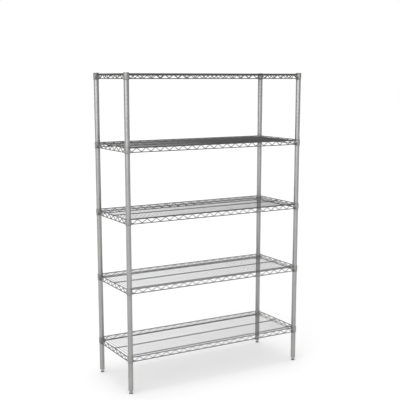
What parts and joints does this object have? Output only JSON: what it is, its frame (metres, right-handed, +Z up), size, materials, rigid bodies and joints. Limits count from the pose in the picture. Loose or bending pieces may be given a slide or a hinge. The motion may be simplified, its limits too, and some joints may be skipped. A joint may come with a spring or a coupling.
{
  "type": "wire shelving rack",
  "caption": "Free-standing wire shelving rack: open welded wire shelves with truss edges, held by collars on grooved round posts with levelling feet.",
  "frame": {"origin": "on the floor under the middle of the rack", "axes": "+X along the shelves, +Y from the front edge to the back edge, +Z up"},
  "size_m": [1.219, 0.458, 1.8737],
  "materials": {
    "post_steel": "satin",
    "truss_wire": "satin",
    "mat_wire": "satin",
    "collar_steel": "satin",
    "sleeve_plastic": "matte",
    "cap_plastic": "satin",
    "fitting_steel": "satin",
    "pad_plastic": "matte"
  },
  "bodies": {
    "posts": {"post_front_left": "post_steel", "post_front_right": "post_steel", "post_back_left": "post_steel", "post_back_right": "post_steel", "post_cap_front_left": "cap_plastic", "post_cap_front_right": "cap_plastic", "post_cap_back_left": "cap_plastic", "post_cap_back_right": "cap_plastic", "post_insert_front_left": "fitting_steel", "post_insert_front_right": "fitting_steel", "post_insert_back_left": "fitting_steel", "post_insert_back_right": "fitting_steel", "shelf_1_left_sleeves": "sleeve_plastic", "shelf_1_right_sleeves": "sleeve_plastic", "shelf_2_left_sleeves": "sleeve_plastic", "shelf_2_right_sleeves": "sleeve_plastic", "shelf_3_left_sleeves": "sleeve_plastic", "shelf_3_right_sleeves": "sleeve_plastic", "shelf_4_left_sleeves": "sleeve_plastic", "shelf_4_right_sleeves": "sleeve_plastic", "shelf_5_left_sleeves": "sleeve_plastic", "shelf_5_right_sleeves": "sleeve_plastic"},
    "shelf_1": {"shelf_1_mat_wires": "mat_wire", "shelf_1_stringers": "truss_wire", "shelf_1_long_trusses": "truss_wire", "shelf_1_end_trusses": "truss_wire", "shelf_1_left_collars": "collar_steel", "shelf_1_right_collars": "collar_steel"},
    "shelf_2": {"shelf_2_mat_wires": "mat_wire", "shelf_2_stringers": "truss_wire", "shelf_2_long_trusses": "truss_wire", "shelf_2_end_trusses": "truss_wire", "shelf_2_left_collars": "collar_steel", "shelf_2_right_collars": "collar_steel"},
    "shelf_3": {"shelf_3_mat_wires": "mat_wire", "shelf_3_stringers": "truss_wire", "shelf_3_long_trusses": "truss_wire", "shelf_3_end_trusses": "truss_wire", "shelf_3_left_collars": "collar_steel", "shelf_3_right_collars": "collar_steel"},
    "shelf_4": {"shelf_4_mat_wires": "mat_wire", "shelf_4_stringers": "truss_wire", "shelf_4_long_trusses": "truss_wire", "shelf_4_end_trusses": "truss_wire", "shelf_4_left_collars": "collar_steel", "shelf_4_right_collars": "collar_steel"},
    "shelf_5": {"shelf_5_mat_wires": "mat_wire", "shelf_5_stringers": "truss_wire", "shelf_5_long_trusses": "truss_wire", "shelf_5_end_trusses": "truss_wire", "shelf_5_left_collars": "collar_steel", "shelf_5_right_collars": "collar_steel"},
    "pad_front_left": {"foot_pad_front_left": "pad_plastic"},
    "screw_front_left": {"foot_stem_front_left": "fitting_steel"},
    "pad_front_right": {"foot_pad_front_right": "pad_plastic"},
    "screw_front_right": {"foot_stem_front_right": "fitting_steel"},
    "pad_back_left": {"foot_pad_back_left": "pad_plastic"},
    "screw_back_left": {"foot_stem_back_left": "fitting_steel"},
    "pad_back_right": {"foot_pad_back_right": "pad_plastic"},
    "screw_back_right": {"foot_stem_back_right": "fitting_steel"}
  },
  "joints": [
    {"name": "shelf_1_lift", "type": "slide", "parent": "posts", "child": "shelf_1", "axis": [0, 0, 1], "range_m": [0, 0.365]},
    {"name": "shelf_2_lift", "type": "slide", "parent": "posts", "child": "shelf_2", "axis": [0, 0, 1], "range_m": [0, 0.365]},
    {"name": "shelf_3_lift", "type": "slide", "parent": "posts", "child": "shelf_3", "axis": [0, 0, 1], "range_m": [0, 0.365]},
    {"name": "shelf_4_lift", "type": "slide", "parent": "posts", "child": "shelf_4", "axis": [0, 0, 1], "range_m": [0, 0.365]},
    {"name": "shelf_5_lift", "type": "slide", "parent": "posts", "child": "shelf_5", "axis": [0, 0, 1], "range_m": [0, 0.06]},
    {"name": "foot_level_front_left", "type": "slide", "parent": "posts", "child": "pad_front_left", "axis": [0, 0, -1], "range_m": [0, 0.02]},
    {"name": "foot_screw_front_left", "type": "hinge", "parent": "pad_front_left", "child": "screw_front_left", "pos_m": [-0.592, -0.2115, 0], "axis": [0, 0, -1], "range_deg": [0, 4801]},
    {"name": "foot_level_front_right", "type": "slide", "parent": "posts", "child": "pad_front_right", "axis": [0, 0, -1], "range_m": [0, 0.02]},
    {"name": "foot_screw_front_right", "type": "hinge", "parent": "pad_front_right", "child": "screw_front_right", "pos_m": [0.592, -0.2115, 0], "axis": [0, 0, -1], "range_deg": [0, 4801]},
    {"name": "foot_level_back_left", "type": "slide", "parent": "posts", "child": "pad_back_left", "axis": [0, 0, -1], "range_m": [0, 0.02]},
    {"name": "foot_screw_back_left", "type": "hinge", "parent": "pad_back_left", "child": "screw_back_left", "pos_m": [-0.592, 0.2115, 0], "axis": [0, 0, -1], "range_deg": [0, 4801]},
    {"name": "foot_level_back_right", "type": "slide", "parent": "posts", "child": "pad_back_right", "axis": [0, 0, -1], "range_m": [0, 0.02]},
    {"name": "foot_screw_back_right", "type": "hinge", "parent": "pad_back_right", "child": "screw_back_right", "pos_m": [0.592, 0.2115, 0], "axis": [0, 0, -1], "range_deg": [0, 4801]}
  ],
  "couplings": [
    {"joint": "foot_screw_front_left", "follows": "foot_level_front_left", "rad_per_m": 4188.8},
    {"joint": "foot_screw_front_right", "follows": "foot_level_front_right", "rad_per_m": 4188.8},
    {"joint": "foot_screw_back_left", "follows": "foot_level_back_left", "rad_per_m": 4188.8},
    {"joint": "foot_screw_back_right", "follows": "foot_level_back_right", "rad_per_m": 4188.8}
  ]
}
